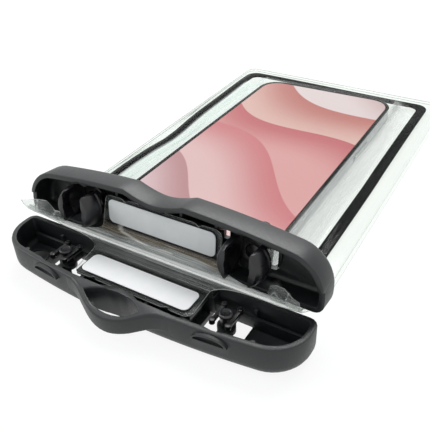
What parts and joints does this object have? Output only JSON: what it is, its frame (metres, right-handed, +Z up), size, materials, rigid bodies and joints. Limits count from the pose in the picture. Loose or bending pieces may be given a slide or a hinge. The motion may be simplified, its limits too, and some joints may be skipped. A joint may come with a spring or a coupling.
{
  "type": "waterproof phone pouch",
  "caption": "Clear film bag with a black welded border, its mouth shut by a hinged two-jaw clamp with two turn locks and a finger loop; a plain phone lies inside.",
  "frame": {"origin": "middle of the lower jaw's flat underside", "axes": "+Z up, +X along the jaws to the right as seen from the clamp's front, +Y towards the bag's closed end"},
  "size_m": [0.1206, 0.2118, 0.0335],
  "materials": {
    "clamp_plastic": "satin moulded black ABS",
    "lock_plastic": "smooth black moulded acetal",
    "seal_rubber": "matt black ribbed rubber",
    "clear_film": "clear glossy TPU film",
    "border_black": "black welded film border",
    "white_label": "plain matt white label",
    "phone_metal": "satin silver frame",
    "phone_glass": "black glass bezel",
    "phone_screen": "lit screen with soft pink waves",
    "phone_back": "pale pink back glass"
  },
  "bodies": {
    "base": {"lower_jaw": "clamp_plastic", "lower_seal_strip": "seal_rubber", "left_lock_pin": "lock_plastic", "right_lock_pin": "lock_plastic", "bag_bottom_film": "clear_film", "bag_top_film": "clear_film", "bag_border": "border_black", "lower_label": "white_label", "phone_body": "phone_metal", "phone_front_glass": "phone_glass", "phone_display": "phone_screen", "phone_back_glass": "phone_back"},
    "clamp_lid": {"upper_jaw": "clamp_plastic", "upper_seal_strip": "seal_rubber", "upper_mouth_film": "clear_film", "upper_label": "white_label"},
    "left_lock": {"left_lock_hook": "lock_plastic", "left_lock_knob": "lock_plastic"},
    "right_lock": {"right_lock_hook": "lock_plastic", "right_lock_knob": "lock_plastic"}
  },
  "joints": [
    {"name": "jaw_hinge", "type": "hinge", "parent": "base", "child": "clamp_lid", "pos_m": [0, 0.0109, 0.0123], "axis": [1, 0, 0], "range_deg": [0, 97.3]},
    {"name": "left_lock_turn", "type": "hinge", "parent": "clamp_lid", "child": "left_lock", "pos_m": [-0.0318, 0.01489, 0.02217], "axis": [0, 0.9919, -0.1271], "range_deg": [0, 90]},
    {"name": "right_lock_turn", "type": "hinge", "parent": "clamp_lid", "child": "right_lock", "pos_m": [0.0318, 0.01489, 0.02217], "axis": [0, 0.9919, -0.1271], "range_deg": [0, 90]}
  ]
}
